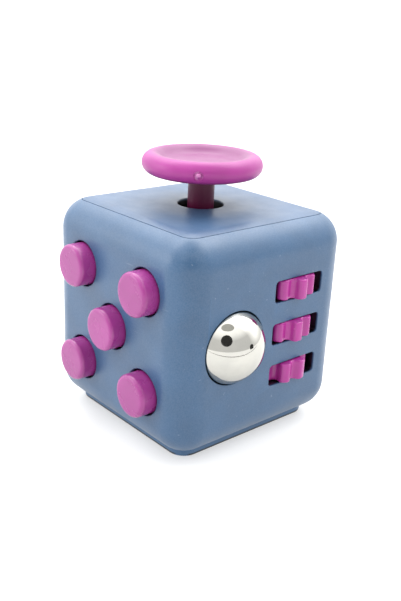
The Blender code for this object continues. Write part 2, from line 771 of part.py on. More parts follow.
def thumb_gear(index, level, phase):
    half = GEAR_THICKNESS / 2
    edge = 0.25
    loops = []
    for inset, height in ((edge, -half), (0, edge - half), (0, half - edge), (edge, half)):
        loops.append([(x, y, level + height) for x, y in gear_outline(phase, inset)])
    bm = bmesh.new()
    loft(bm, loops)
    gear = solid(f"gear_{index}", bm)
    bm = bmesh.new()
    x, y = GEAR_AXIS
    cylinder(bm, AXLE_RADIUS + 0.1, (x, y, level - 3), (x, y, level + 3), COARSE)
    cut(gear, bm)
    return finish(gear, MAGENTA, 0.35, origin=(x, y, level))


def roll_bracket():
    """A plate on four posts, with two arms that hold the gear axle and a bore for the cup's stub."""
    bm = bmesh.new()
    middle_y = 2.2
    outline = rounded_rectangle(11.7, 11.6, 1.5, (middle_y, 16.4), 3)
    prism(bm, outline, "X", BRACKET_REAR, BRACKET_FRONT)
    bracket = solid("roll_bracket", bm)
    bm = bmesh.new()
    x, y = GEAR_AXIS
    half = ARM_THICKNESS / 2
    for level in (ARM_TOP_Z, ARM_BOTTOM_Z):
        box(bm, (BRACKET_FRONT - 0.5, y - 1.8, level - half), (14.7, y + 1.8, level + half))
    join(bracket, bm)
    bm = bmesh.new()
    cylinder(bm, AXLE_RADIUS + 0.1, (x, y, 0), (x, y, SIDE), COARSE)
    cylinder(bm, CUP_STUB + FIT_GAP, (0, *BALL_CENTRE[1:]), (10, *BALL_CENTRE[1:]), MEDIUM)
    for post_y, post_z in BRACKET_POSTS:
        cylinder(bm, SCREW_HOLE, (0, post_y, post_z), (10, post_y, post_z), COARSE)
    cylinder(bm, SCREW_HOLE, (0, *COMB_SCREW), (10, *COMB_SCREW), COARSE)
    cut(bracket, bm)
    return finish(bracket, BLACK, 0.5)


def click_comb():
    """A sprung comb with one finger that drags on the teeth of each gear."""
    base = BRACKET_FRONT + REST_GAP
    thickness = 0.3
    bm = bmesh.new()
    box(bm, (base, 9.2, 7.5), (base + thickness, 12.0, 25.3))
    comb = solid("click_comb", bm)
    x, y = GEAR_AXIS
    tip = x - GEAR_TIP - 0.25
    bm = bmesh.new()
    for level in GEAR_LEVELS:
        finger = [(base, 9.4), (base + thickness, 9.6), (tip, y + 0.3), (tip - 0.3, y)]
        prism(bm, finger, "Z", level - 1, level + 1)
    join(comb, bm)
    bm = bmesh.new()
    cylinder(bm, SCREW_HOLE, (0, *COMB_SCREW), (10, *COMB_SCREW), COARSE)
    for post_y, post_z in BRACKET_POSTS:
        cylinder(bm, POST_RADIUS + REST_GAP, (0, post_y, post_z), (10, post_y, post_z), COARSE)
    cut(comb, bm)
    return finish(comb, STEEL, 0.3, 1.0)


def gear_parts():
    x, y = GEAR_AXIS
    for index, (level, phase) in enumerate(zip(GEAR_LEVELS, GEAR_PHASES), 1):
        thumb_gear(index, level, phase)
    bm = bmesh.new()
    over = ARM_THICKNESS / 2 + 0.2
    cylinder(bm, AXLE_RADIUS, (x, y, ARM_BOTTOM_Z - over), (x, y, ARM_TOP_Z + over), COARSE)
    finish(solid("gear_axle", bm), STEEL, 0.3, 1.0, origin=(x, y, ARM_BOTTOM_Z))
    half = GEAR_THICKNESS / 2 + 0.15
    for index, (upper, lower) in enumerate(zip(GEAR_LEVELS, GEAR_LEVELS[1:]), 1):
        bm = bmesh.new()
        low = lower + half
        high = upper - half
        inner = AXLE_RADIUS + 0.1
        turned(bm, [(inner, low), (1.3, low), (1.3, high), (inner, high)], (x, y, 0), (0, 0, 1), COARSE)
        finish(solid(f"gear_spacer_{index}", bm), BLACK, 0.4)
    roll_bracket()
    click_comb()
    screw("comb_screw", (BRACKET_FRONT + 0.9, *COMB_SCREW), (-1, 0, 0), 2.0)
    for index, (post_y, post_z) in enumerate(BRACKET_POSTS, 1):
        head = (BRACKET_REAR - REST_GAP, post_y, post_z)
        screw(f"bracket_screw_{index}", head, (1, 0, 0), 6.0)


# --- Rocker -----------------------------------------------------------------------------------------


def rocker():
    """The rocker at rest, its lower end pushed in; it flips about the pin along X."""
    length = ROCKER_HALF_LENGTH
    corner = 0.5
    outline = [(length, 4.0)]
    outline += arc(length - corner, ROCKER_CROWN - corner, corner, 0, 75, 3)
    outline += [(2.4, 4.25), (0, 4.05), (-2.4, 4.25)]
    outline += arc(corner - length, ROCKER_CROWN - corner, corner, 105, 180, 3)
    outline += [(-length, 4.0), (-3.4, 0.8), (-1.6, -1.4), (-0.3, -ROCKER_NOSE)]
    outline += [(0.3, -ROCKER_NOSE), (1.6, -1.4), (3.4, 0.8)]
    tilt = math.radians(-ROCKER_TILT)
    pivot_y, pivot_z = ROCKER_AXIS
    placed = []
    for along, out in outline:
        y = pivot_y + out * math.cos(tilt) - along * math.sin(tilt)
        z = pivot_z + out * math.sin(tilt) + along * math.cos(tilt)
        placed.append((y, z))
    bm = bmesh.new()
    prism(bm, placed, "X", -ROCKER_HALF_WIDTH, ROCKER_HALF_WIDTH)
    piece = solid("rocker", bm)
    bm = bmesh.new()
    cylinder(bm, AXLE_RADIUS + 0.1, (-5, *ROCKER_AXIS), (5, *ROCKER_AXIS), COARSE)
    cut(piece, bm)
    return finish(piece, MAGENTA, 0.35, origin=(0, *ROCKER_AXIS))


def rocker_housing():
    """An open tray behind the rocker, with a guide for the plunger and two screw ears."""
    z = ROCKER_AXIS[1]
    bm = bmesh.new()
    outer = rounded_rectangle(HOUSING_HALF_WIDTH, HOUSING_HALF_LENGTH, 0.6, (0, z), 2)
    prism(bm, outer, "Y", HOUSING_REAR, HOUSING_FRONT)
    housing = solid("rocker_housing", bm)
    bm = bmesh.new()
    cylinder(bm, 2.0, (0, 5.2, z), (0, HOUSING_REAR + 0.5, z), MEDIUM)
    for side in (-1, 1):
        low = z + side * (HOUSING_HALF_LENGTH - 0.3)
        high = z + side * (HOUSING_SCREW_Z + 1.7)
        box(bm, (-1.7, 12.0, min(low, high)), (1.7, 13.3, max(low, high)))
    join(housing, bm)
    bm = bmesh.new()
    inner = rounded_rectangle(HOUSING_HALF_WIDTH - 0.9, HOUSING_HALF_LENGTH - 0.9, 0.4, (0, z), 2)
    prism(bm, inner, "Y", HOUSING_REAR + 1, HOUSING_FRONT + 1)
    cut(housing, bm)
    bm = bmesh.new()
    cylinder(bm, 1.3, (0, 5.7, z), (0, HOUSING_REAR + 2, z), MEDIUM)
    cylinder(bm, AXLE_RADIUS + 0.1, (-6, *ROCKER_AXIS), (6, *ROCKER_AXIS), COARSE)
    for side in (-1, 1):
        screw_z = z + side * HOUSING_SCREW_Z
        cylinder(bm, SCREW_HOLE, (0, 11, screw_z), (0, 14, screw_z), COARSE)
    cut(housing, bm)
    return finish(housing, GREY, 0.5)


def rocker_parts():
    pivot_y, z = ROCKER_AXIS
    rocker()
    rocker_housing()
    bm = bmesh.new()
    cylinder(bm, AXLE_RADIUS, (-4.1, *ROCKER_AXIS), (4.1, *ROCKER_AXIS), COARSE)
    finish(solid("rocker_pin", bm), STEEL, 0.3, 1.0, origin=(0, *ROCKER_AXIS))
    plunger_tip = pivot_y - ROCKER_NOSE - REST_GAP
    profile = [(0, 8.1), (0.5, 8.1), (0.5, 8.5), (1.15, 8.5), (1.15, plunger_tip - 0.6)]
    profile += [(0.7, plunger_tip - 0.15), (0, plunger_tip)]
    bm = bmesh.new()
    turned(bm, profile, (0, 0, z), (0, 1, 0), COARSE)
    finish(solid("rocker_plunger", bm), BLACK, 0.4, origin=(0, 8.5, z))
    bm = bmesh.new()
    coil(bm, (0, 5.8, z), (0, 1, 0), 0.95, 0.16, 2.6, 4)
    finish(solid("rocker_spring", bm), STEEL, 0.3, 1.0)
    for name, side in (("upper", 1), ("lower", -1)):
        head = (0, 12.0 - REST_GAP, z + side * HOUSING_SCREW_Z)
        screw(f"rocker_screw_{name}", head, (0, 1, 0), 3.4)


# --- Dial -------------------------------------------------------------------------------------------


def spin_dial():
    """A disc in the -X face's recess with an off-centre finger nub; it turns about X."""
    back = HALF - DIAL_RECESS_DEPTH + REST_GAP
    shaft_end = 11.9
    profile = [(0, shaft_end), (DIAL_SHAFT, shaft_end), (DIAL_SHAFT, back), (DIAL_RADIUS, back)]
    profile += arc(DIAL_RADIUS - 0.6, DIAL_FRONT - 0.6, 0.6, 0, 90, 3)
    profile += [(DIAL_RADIUS - 1.4, DIAL_FRONT), (DIAL_RADIUS - 1.9, DIAL_FRONT - 0.5), (0, DIAL_FRONT - 0.5)]
    bm = bmesh.new()
    turned(bm, profile, (0, 0, DIAL_Z), (-1, 0, 0), FINE)
    dial = solid("spin_dial", bm)
    nub_floor = DIAL_FRONT - 1.2
    profile = [(0, nub_floor), (NUB_RADIUS + 0.3, nub_floor), (NUB_RADIUS + 0.3, DIAL_FRONT - 0.3)]
    profile += arc(NUB_RADIUS - 1.0, NUB_FRONT - 1.0, 1.0, 0, 90, 3)
    profile += [(0, NUB_FRONT)]
    bm = bmesh.new()
    turned(bm, profile, (0, 0, DIAL_Z - NUB_OFFSET), (-1, 0, 0), COARSE)
    join(dial, bm)
    bm = bmesh.new()
    cylinder(bm, SCREW_HOLE, (-shaft_end + 1, 0, DIAL_Z), (-shaft_end - 3.2, 0, DIAL_Z), COARSE)
    cut(dial, bm)
    return finish(dial, MAGENTA, 0.38, origin=(-HALF, 0, DIAL_Z))


def dial_parts():
    spin_dial()
    bm = bmesh.new()
    turned(bm, [(0.9, 11.0), (3.2, 11.0), (3.2, 11.6), (0.9, 11.6)], (0, 0, DIAL_Z), (-1, 0, 0), MEDIUM)
    finish(solid("dial_washer", bm), STEEL, 0.3, 1.0, origin=(-11.0, 0, DIAL_Z))
    screw("dial_screw", (-10.7, 0, DIAL_Z), (-1, 0, 0), 3.9)
    loops = []
    for i in range(MEDIUM):
        angle = math.tau * i / MEDIUM
        wave = 0.25 * math.cos(3 * angle)
        loop = []
        for radius, level in ((2.4, 12.35), (3.2, 12.35), (3.2, 12.6), (2.4, 12.6)):
            loop.append((-level - wave, radius * math.cos(angle), DIAL_Z + radius * math.sin(angle)))
        loops.append(loop)
    bm = bmesh.new()
    loft(bm, loops, capped=False)
    finish(solid("dial_wave_washer", bm), STEEL, 0.3, 1.0)


def main():
    for obj in list(bpy.data.objects):
        bpy.data.objects.remove(obj)
    body_shell()
    top_cover()
    bottom_cover()
    joystick_parts()
    button_parts()
    ball_parts()
    gear_parts()
    rocker_parts()
    dial_parts()


main()
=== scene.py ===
"""The fidget cube's looks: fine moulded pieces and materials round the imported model, in a pale studio.

Pieces are shaped in millimetres and scaled to metres when they are placed on their body.
"""

import json
import math

import bmesh
import bpy
from mathutils import Matrix, Vector


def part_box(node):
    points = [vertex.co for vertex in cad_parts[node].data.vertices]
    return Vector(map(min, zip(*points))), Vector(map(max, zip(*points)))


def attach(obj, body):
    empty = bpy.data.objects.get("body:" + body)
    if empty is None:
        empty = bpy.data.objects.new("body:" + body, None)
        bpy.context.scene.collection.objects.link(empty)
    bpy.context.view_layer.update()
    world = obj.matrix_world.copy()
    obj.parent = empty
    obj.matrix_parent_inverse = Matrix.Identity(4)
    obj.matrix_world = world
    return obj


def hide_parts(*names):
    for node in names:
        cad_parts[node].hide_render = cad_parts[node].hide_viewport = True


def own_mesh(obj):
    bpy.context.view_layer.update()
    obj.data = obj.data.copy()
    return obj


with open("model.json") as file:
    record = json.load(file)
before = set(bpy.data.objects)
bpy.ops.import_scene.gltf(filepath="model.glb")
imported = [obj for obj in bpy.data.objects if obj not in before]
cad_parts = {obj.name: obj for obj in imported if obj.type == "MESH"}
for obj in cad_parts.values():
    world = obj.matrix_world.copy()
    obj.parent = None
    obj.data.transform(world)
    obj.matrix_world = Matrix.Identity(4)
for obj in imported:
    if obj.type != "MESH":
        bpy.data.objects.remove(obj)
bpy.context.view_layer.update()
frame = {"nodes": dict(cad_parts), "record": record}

MM = 0.001


def span(node):
    """A CAD node's lowest and highest corners in millimetres."""
    low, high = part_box(node)
    return low / MM, high / MM


def span_middle(node):
    low, high = span(node)
    return (low + high) / 2


# Cube
HALF = span("body_shell")[1].x
TOP = span("top_cover")[1].z
BASE_STEP = TOP - 2 * HALF  # how far the base plate stands below the shell
EDGE_RADIUS = 4.75
INNER = HALF - 2.0
INNER_CORNER = 2.75
COVER_HALF = span("top_cover")[1].x
COVER_CORNER = 1.8
BASE_CORNER = 2.6
COVER_SEAM = 0.1
COVER_THICKNESS = 1.9
LIP = 0.3  # the shell's ledges sit this far from the covers
RIM_FILLET = 0.22  # soft edge round each opening

# Top face
DISC_LOW, DISC_HIGH = span("joystick")
DISC_RADIUS = DISC_HIGH.x
RIM_RADIUS = 1.6
RIM_CENTRE = DISC_RADIUS - RIM_RADIUS
RIM_Z = DISC_HIGH.z - RIM_RADIUS
DISH_Z = DISC_HIGH.z - 1.2
STICK_RADIUS = 2.04
STICK_HOLE = 3.56
PIVOT_Z = BASE_STEP + 26.0
DISC_UNDERSIDE = BASE_STEP + 37.95
STEM_FILLET = 0.5  # between the stem and the disc's underside

# Moulding mark on the rim, between the two front faces and just under the rim's middle
GATE_PIT_RADIUS = 0.7
GATE_PIT_DEPTH = 0.22
GATE_BUTTON_RADIUS = 0.42
GATE_TURN = math.radians(45.5)
GATE_TILT = math.radians(-6)
GATE_OUTWARD = Vector((math.sin(GATE_TURN), -math.cos(GATE_TURN), 0))
GATE_AXIS = GATE_OUTWARD * math.cos(GATE_TILT) + Vector((0, 0, math.sin(GATE_TILT)))
GATE_SPOT = GATE_OUTWARD * RIM_CENTRE + Vector((0, 0, RIM_Z)) + GATE_AXIS * RIM_RADIUS

# Button face
BUTTONS = ("upper_left", "upper_right", "centre", "lower_left", "lower_right")
QUIET_BUTTONS = ("upper_right", "lower_left")
BUTTON_RADIUS = 3.25
BUTTON_HOLE = 3.5
FLANGE_RADIUS = 3.9
CAP_FILLET = 0.6

# Ball and gear face
BALL_LOW, BALL_HIGH = span("click_ball")
BALL_CENTRE = (BALL_LOW + BALL_HIGH) / 2
BALL_RADIUS = (BALL_HIGH.x - BALL_LOW.x) / 2
BALL_CUT = BALL_RADIUS + 0.12  # the spherical pocket's radius
GEAR_AXIS = (span("gear_axle")[0] + span("gear_axle")[1]) / 2
GEAR_TIP = 4.55
GEAR_ROOT = 3.5
GEAR_TEETH = 8
GEAR_TOOTH_FLATNESS = 1.6  # how square the teeth are
GEAR_TOOTH_WIDENING = 0.22  # how much wider the teeth are than the gaps
GEAR_PHASES = (-3.0, -6.0, 17.0)
GEAR_EDGE = 0.28
AXLE_HOLE = 0.75
SLOT_HALF_WIDTH = 4.95
SLOT_HALF_HEIGHT = 1.68
SLOT_CORNER = 0.6
SLOT_FILLET = 0.12
GEAR_POCKET = 15.2  # the pocket behind the slots reaches this far out
GEAR_POCKET_HALF_HEIGHT = 11.1

# Rocker face
ROCKER_Z = BASE_STEP + 16.5
ROCKER_PIVOT_Y = 13.0
ROCKER_TILT = 12.0
ROCKER_OPENING = (3.3, 6.0)
ROCKER_OPENING_CORNER = 0.8
ROCKER_LENGTH = 4.8
ROCKER_CROWN = 4.9
ROCKER_PIN_HOLE = 0.75

# Dial face
DIAL_Z = BASE_STEP + 16.5
DIAL_RADIUS = span("spin_dial")[1].y
DIAL_RECESS = 7.9
DIAL_RECESS_DEPTH = 0.9
DIAL_SHAFT_HOLE = 2.15
DIAL_SHAFT_END = 11.9
DIAL_FRONT = 18.2
NUB_OFFSET = 4.8
NUB_RADIUS = 1.5
NUB_FRONT = -span("spin_dial")[0].x

# The viewer: the direction is turned from -Y towards +X, and the place is in millimetres
VIEW_AZIMUTH = math.radians(48.18)
VIEW_ELEVATION = math.radians(20.59)
VIEW_ROLL = math.radians(2.74)
VIEW_PLACE = (90.973, -80.442, 62.636 + BASE_STEP)
VIEW_LENS = 48.34

# Facets round a full turn
ROUND = 96
SMALL_ROUND = 48


# --- Shapes -----------------------------------------------------------------------------------------


def towards(axis, centre):
    """The placement that turns local +Z to the axis and puts local zero at the centre."""
    turn = Vector((0, 0, 1)).rotation_difference(Vector(axis)).to_matrix().to_4x4()
    return Matrix.Translation(Vector(centre)) @ turn


def loft(bm, loops):
    """Joins equal loops of points into a tube and closes its ends."""
    rings = [[bm.verts.new(point) for point in loop] for loop in loops]
    for low, high in zip(rings, rings[1:]):
        for i in range(len(low)):
            j = (i + 1) % len(low)
            bm.faces.new((low[i], low[j], high[j], high[i]))
    bm.faces.new(list(reversed(rings[0])))
    bm.faces.new(rings[-1])


def turned(bm, profile, centre, axis, facets=ROUND):
    """A solid of revolution: profile lists (radius, height), from axis to axis or as a closed loop."""
    place = towards(axis, centre)
    hollow = min(radius for radius, height in profile) > 0
    rings = []
    for radius, height in profile:
        if radius == 0:
            rings.append([bm.verts.new(place @ Vector((0, 0, height)))])
            continue
        ring = []
        for i in range(facets):
            angle = math.tau * i / facets
            point = Vector((radius * math.cos(angle), radius * math.sin(angle), height))
            ring.append(bm.verts.new(place @ point))
        rings.append(ring)
    pairs = list(zip(rings, rings[1:]))
    if hollow:
        pairs.append((rings[-1], rings[0]))
    for low, high in pairs:
        for i in range(facets):
            j = (i + 1) % facets
            if len(low) == 1:
                bm.faces.new((low[0], high[j], high[i]))
            elif len(high) == 1:
                bm.faces.new((low[i], low[j], high[0]))
            else:
                bm.faces.new((low[i], low[j], high[j], high[i]))


def arc(centre_u, centre_v, radius, start, end, steps):
    """Points along an arc, with angles in degrees."""
    points = []
    for i in range(steps + 1):
        angle = math.radians(start + (end - start) * i / steps)
        points.append((centre_u + radius * math.cos(angle), centre_v + radius * math.sin(angle)))
    return points


def rounded_rectangle(half_u, half_v, radius, centre=(0, 0), steps=8):
    """A rectangle's outline with round corners."""
    outline = []
    corners = ((1, 1, 0), (-1, 1, 90), (-1, -1, 180), (1, -1, 270))
    for side_u, side_v, start in corners:
        corner_u = centre[0] + side_u * (half_u - radius)
        corner_v = centre[1] + side_v * (half_v - radius)
        outline += arc(corner_u, corner_v, radius, start, start + 90, steps)
    return outline


def layers(bm, outlines, axis):
    """Outlines of (u, v) points stacked at levels along X, Y or Z, as [(level, outline), ...]."""
    order = {"X": (2, 0, 1), "Y": (0, 2, 1), "Z": (0, 1, 2)}[axis]
    loops = []
    for level, outline in outlines:
        loops.append([Vector((u, v, level)[k] for k in order) for u, v in outline])
    loft(bm, loops)


def prism(bm, outline, axis, low, high):
    layers(bm, [(low, outline), (high, outline)], axis)


def rounded_block(bm, low, high, radius, segments=18):
    """A block with every edge and corner rounded."""
    outline = [(low[0], low[1]), (high[0], low[1]), (high[0], high[1]), (low[0], high[1])]
    prism(bm, outline, "Z", low[2], high[2])
    bmesh.ops.recalc_face_normals(bm, faces=bm.faces)
    bmesh.ops.bevel(
        bm,
        geom=bm.edges[:],
        offset=radius,
        offset_type="OFFSET",
        segments=segments,
        profile=0.5,
        affect="EDGES",
        clamp_overlap=False,
    )


def flared_hole(bm, radius, surface, depth, centre, axis, fillet=RIM_FILLET, facets=ROUND):
    """A round cutter whose mouth widens in a quarter round, so that the hole gets a soft rim."""
    profile = [(0, surface - depth), (radius, surface - depth)]
    profile += arc(radius + fillet, surface - fillet, fillet, 180, 96, 5)
    profile += [(radius + fillet, surface + 1), (0, surface + 1)]
    turned(bm, profile, centre, axis, facets)


def flared_slot(bm, half_u, half_v, corner, centre, axis, surface, depth, fillet=RIM_FILLET):
    """A rounded-rectangle cutter with the same soft rim; a negative surface faces the other way."""
    side = math.copysign(1, surface)
    outlines = [(surface - side * depth, 0.0)]
    for out, up in arc(fillet, -fillet, fillet, 180, 96, 5):
        outlines.append((surface + side * up, out))
    outlines.append((surface + side, fillet))
    stack = []
    for level, grow in outlines:
        stack.append((level, rounded_rectangle(half_u + grow, half_v + grow, corner + grow, centre)))
    layers(bm, stack, axis)


# --- Objects ----------------------------------------------------------------------------------------


def solid(name, bm):
    bmesh.ops.recalc_face_normals(bm, faces=bm.faces)
    mesh = bpy.data.meshes.new(name)
    bm.to_mesh(mesh)
    bm.free()
    obj = bpy.data.objects.new(name, mesh)
    bpy.context.scene.collection.objects.link(obj)
    return obj


def combine(target, bm, operation):
    """Cuts, joins or intersects the target with a second mesh."""
    tool = solid("tool", bm)
    modifier = target.modifiers.new("combine", "BOOLEAN")
    modifier.operation = operation
    modifier.solver = "EXACT"
    modifier.object = tool
    bpy.context.view_layer.update()
    shaped = target.evaluated_get(bpy.context.evaluated_depsgraph_get())
    mesh = bpy.data.meshes.new_from_object(shaped)
    target.modifiers.remove(modifier)
    target.data = mesh
    bpy.data.objects.remove(tool)
    clean = bmesh.new()
    clean.from_mesh(mesh)
    bmesh.ops.remove_doubles(clean, verts=clean.verts, dist=0.0005)
    bmesh.ops.dissolve_degenerate(clean, edges=clean.edges, dist=0.0005)
    clean.to_mesh(mesh)
    clean.free()


def cut(target, bm):
    combine(target, bm, "DIFFERENCE")


def join(target, bm):
    combine(target, bm, "UNION")


def place(obj, body, node, slot, material, sharp=32):
    """Scales a piece to metres, smooths it, and puts it on its body in place of its CAD node."""
    obj.data.transform(Matrix.Scale(MM, 4))
    obj.data.shade_smooth()
    obj.data.set_sharp_from_angle(angle=math.radians(sharp))
    weighted = obj.modifiers.new("weighted_normals", "WEIGHTED_NORMAL")
    weighted.keep_sharp = True
    weighted.weight = 80
    obj.data.materials.clear()
    obj.data.materials.append(material)
    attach(obj, body)
    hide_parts(node)
    return obj


# --- Materials --------------------------------------------------------------------------------------


class Nodes:
    """A small helper to build a material's node tree."""

    def __init__(self, name):
        self.material = bpy.data.materials.new(name)
        self.material.use_nodes = True
        self.tree = self.material.node_tree
        self.shader = self.tree.nodes["Principled BSDF"]
        self.place = self.add("ShaderNodeTexCoord").outputs["Object"]

    def add(self, kind, inputs=None, **settings):
        node = self.tree.nodes.new(kind)
        for key, value in settings.items():
            setattr(node, key, value)
        for key, value in (inputs or {}).items():
            if isinstance(value, bpy.types.NodeSocket):
                self.tree.links.new(value, node.inputs[key])
            else:
                node.inputs[key].default_value = value
        return node

    def math(self, operation, *values):
        return self.add("ShaderNodeMath", dict(enumerate(values)), operation=operation).outputs[0]

    def vector(self, operation, *values, output="Vector"):
        node = self.add("ShaderNodeVectorMath", dict(enumerate(values)), operation=operation)
        return node.outputs[output]

    def split(self, vector):
        """The X, Y and Z parts of a vector."""
        return self.add("ShaderNodeSeparateXYZ", {"Vector": vector}).outputs

    def stretched(self, scale, rotation=(0, 0, 0)):
        """The object's coordinates scaled by axis, for a noise that runs in lines."""
        inputs = {"Vector": self.place, "Scale": scale, "Rotation": rotation}
        return self.add("ShaderNodeMapping", inputs).outputs["Vector"]

    def link(self, output, socket):
        self.tree.links.new(output, self.shader.inputs[socket])

    def noise(self, scale, detail=3.0, vector=None):
        inputs = {"Vector": vector or self.place, "Scale": scale, "Detail": detail}
        return self.add("ShaderNodeTexNoise", inputs).outputs["Fac"]

    def spread(self, value, low, high, start=0.35, end=0.65):
        """Carries start..end to low..high, and holds the value at both ends."""
        inputs = {"Value": value, "From Min": start, "From Max": end, "To Min": low, "To Max": high}
        return self.add("ShaderNodeMapRange", inputs).outputs["Result"]

    def ramp(self, value, stops):
        """A brightness that follows straight lines between (position, brightness) stops."""
        node = self.add("ShaderNodeValToRGB", {"Fac": value})
        elements = node.color_ramp.elements
        while len(elements) < len(stops):
            elements.new(1.0)
        for element, (position, level) in zip(elements, stops):
            element.position = position
            element.color = (level, level, level, 1)
        return node.outputs["Color"]

    def mix(self, factor, first, second, blend="MIX"):
        node = self.add("ShaderNodeMix", data_type="RGBA", blend_type=blend)
        for socket, value in ((0, factor), (6, first), (7, second)):
            if isinstance(value, bpy.types.NodeSocket):
                self.tree.links.new(value, node.inputs[socket])
            else:
                node.inputs[socket].default_value = value
        return node.outputs[2]

    def bump(self, height, strength, distance, normal=None):
        inputs = {"Height": height, "Strength": strength, "Distance": distance}
        if normal is not None:
            inputs["Normal"] = normal
        return self.add("ShaderNodeBump", inputs).outputs["Normal"]


class WorldNodes(Nodes):
    """The same helper on the world's tree."""

    def __init__(self, world):
        self.tree = world.node_tree
        self.place = self.add("ShaderNodeTexCoord").outputs["Generated"]

    def direction(self):
        """How high a direction looks, and how far it looks away from the viewer."""
        away = (-math.sin(VIEW_AZIMUTH), math.cos(VIEW_AZIMUTH), 0)
        return self.split(self.place)["Z"], self.vector("DOT_PRODUCT", self.place, away, output="Value")


def tint(colour, factor):
    return (*(min(1.0, c * factor) for c in colour), 1.0)


def deep_painted_shade(n):
    """1 well below the cube's outer surface and 0 on it: painted shade that keeps deep walls, gaps and the
    cavity dark.
    """
    middle = (0, 0, (TOP + BASE_STEP) / 2 * MM)
    core = ((HALF - EDGE_RADIUS) * MM,) * 3
    folded = n.vector("ABSOLUTE", n.vector("SUBTRACT", n.place, middle))
    outside = n.vector("MAXIMUM", n.vector("SUBTRACT", folded, core), (0, 0, 0))
    reach = n.vector("LENGTH", outside, output="Value")
    return n.spread(reach, 1, 0, (EDGE_RADIUS - 0.4) * MM, (EDGE_RADIUS - 0.12) * MM)


def foot_contact_shadow(n):
    """1 on the lowest edge of the base plate's sides, the band that is darkened as painted contact shadow."""
    parts = n.split(n.place)
    across = n.math("MAXIMUM", n.math("ABSOLUTE", parts["X"]), n.math("ABSOLUTE", parts["Y"]))
    outer = n.spread(across, 0, 1, (COVER_HALF - 0.3) * MM, (COVER_HALF - 0.15) * MM)
    low = n.spread(parts["Z"], 1, 0, 0.3 * MM, 0.45 * MM)
    return n.math("MULTIPLY", outer, low)


def stem_painted_shade(n):
    """1 on the joystick's stem and 0 on its disc; the stem is darkened as painted shade from the disc above.
    """
    height = n.split(n.place)["Z"]
    return n.spread(height, 1, 0, (DISC_UNDERSIDE - 0.7) * MM, (DISC_UNDERSIDE + 0.2) * MM)


def dish_painted_shade(n):
    """1 in the joystick's hollow, which is painted darker and duller as painted shade."""
    radius = n.vector("LENGTH", n.vector("MULTIPLY", n.place, (1, 1, 0)), output="Value")
    return n.spread(radius, 1, 0, (RIM_CENTRE - 0.7) * MM, (RIM_CENTRE + 0.5) * MM)


def gate_painted_highlight(n):
    """Pale flecks of painted highlight on the moulding mark at the front of the joystick's rim."""
    away = n.vector("DISTANCE", n.place, GATE_SPOT * MM, output="Value")
    near = n.spread(away, 1, 0, 0.5 * MM, 0.75 * MM)
    flecks = n.spread(n.noise(1900, 1), 0, 1, 0.46, 0.56)
    return n.math("MULTIPLY", near, flecks)


FINE_DUST = (0.8, 0.85, 0.9, 1)
SPECK = (0.55, 0.6, 0.66, 1)
SCRATCH = (0.6, 0.64, 0.7, 1)


def plastic(name, colour, gloss=(0.3, 0.42), grain=0.3, dust=0.4, wear=0.3, haze=0.5, areas=()):
    """Moulded plastic: faint colour drift, fine mould grain, sparse dust and scratches, paler worn edges.

    gloss is the roughness at the smudges' two extremes, haze the strength of the surface reflection, and areas
    lists (mask, paint) pairs of painted shade and painted highlights that are painted over in turn.
    """
    n = Nodes(name)
    drift = n.spread(n.noise(170, 2), 0, 1)
    base = n.mix(drift, tint(colour, 0.93), tint(colour, 1.07))
    fine = n.spread(n.noise(5200, 2), 0, 0.07 * dust)
    base = n.mix(fine, base, FINE_DUST)
    cells = n.add("ShaderNodeTexVoronoi", {"Vector": n.place, "Scale": 260.0, "Randomness": 1.0})
    specks = n.spread(cells.outputs["Distance"], dust, 0, 0.012, 0.03)
    sparse = n.spread(n.noise(110, 1), 0, 1, 0.48, 0.56)
    base = n.mix(n.math("MULTIPLY", specks, sparse), base, SPECK)
    lines = n.noise(1.0, 2, n.stretched((90, 1500, 1500), (0.5, 0.9, 0.3)))
    scratch = n.math("MULTIPLY", n.spread(lines, 0, 1, 0.72, 0.76), dust * 0.3)
    base = n.mix(scratch, base, SCRATCH)
    edge = n.add("ShaderNodeNewGeometry").outputs["Pointiness"]
    worn = n.spread(edge, 0, wear, 0.53, 0.62)
    base = n.mix(worn, base, tint(colour, 1.6))
    for mask, paint in areas:
        base = n.mix(mask(n), base, (*paint, 1))
    n.link(base, "Base Color")
    n.link(n.spread(n.noise(260, 4), *gloss, 0.3, 0.7), "Roughness")
    n.shader.inputs["Specular IOR Level"].default_value = haze
    waves = n.bump(n.noise(210, 1), 0.12, 0.0002)
    n.link(n.bump(n.noise(7000, 2), grain, 0.000012, waves), "Normal")
    return n.material


def polished_steel():
    """The click ball: mirror steel with the finest hairlines and a few smudges."""
    n = Nodes("ball_chrome")
    smudge = n.noise(300, 4)
    n.link(n.mix(n.spread(smudge, 0, 1), (0.49, 0.485, 0.45, 1), (0.54, 0.53, 0.49, 1)), "Base Color")
    n.shader.inputs["Metallic"].default_value = 1.0
    n.link(n.spread(smudge, 0.02, 0.07), "Roughness")
    hairlines = n.noise(1.0, 2, n.stretched((300, 4000, 4000)))
    n.link(n.bump(hairlines, 0.05, 0.000005), "Normal")
    return n.material


def zinc_steel(name, colour=(0.56, 0.56, 0.57)):
    """Springs, screws and pins: drawn or plated steel."""
    n = Nodes(name)
    n.link(n.mix(n.spread(n.noise(900, 3), 0, 1), tint(colour, 0.8), tint(colour, 1.1)), "Base Color")
    n.shader.inputs["Metallic"].default_value = 1.0
    n.link(n.spread(n.noise(1500, 3), 0.22, 0.4), "Roughness")
    n.link(n.bump(n.noise(4000, 2), 0.2, 0.00001), "Normal")
    return n.material


def silicone():
    """Milky silicone rubber for the quiet domes."""
    n = Nodes("silicone")
    n.link(n.mix(n.spread(n.noise(500, 3), 0, 1), (0.55, 0.54, 0.5, 1), (0.64, 0.63, 0.6, 1)), "Base Color")
    n.link(n.spread(n.noise(900, 3), 0.45, 0.6), "Roughness")
    n.shader.inputs["Subsurface Weight"].default_value = 0.2
    n.shader.inputs["Subsurface Scale"].default_value = 0.001
    n.link(n.bump(n.noise(6000, 2), 0.2, 0.00001), "Normal")
    return n.material
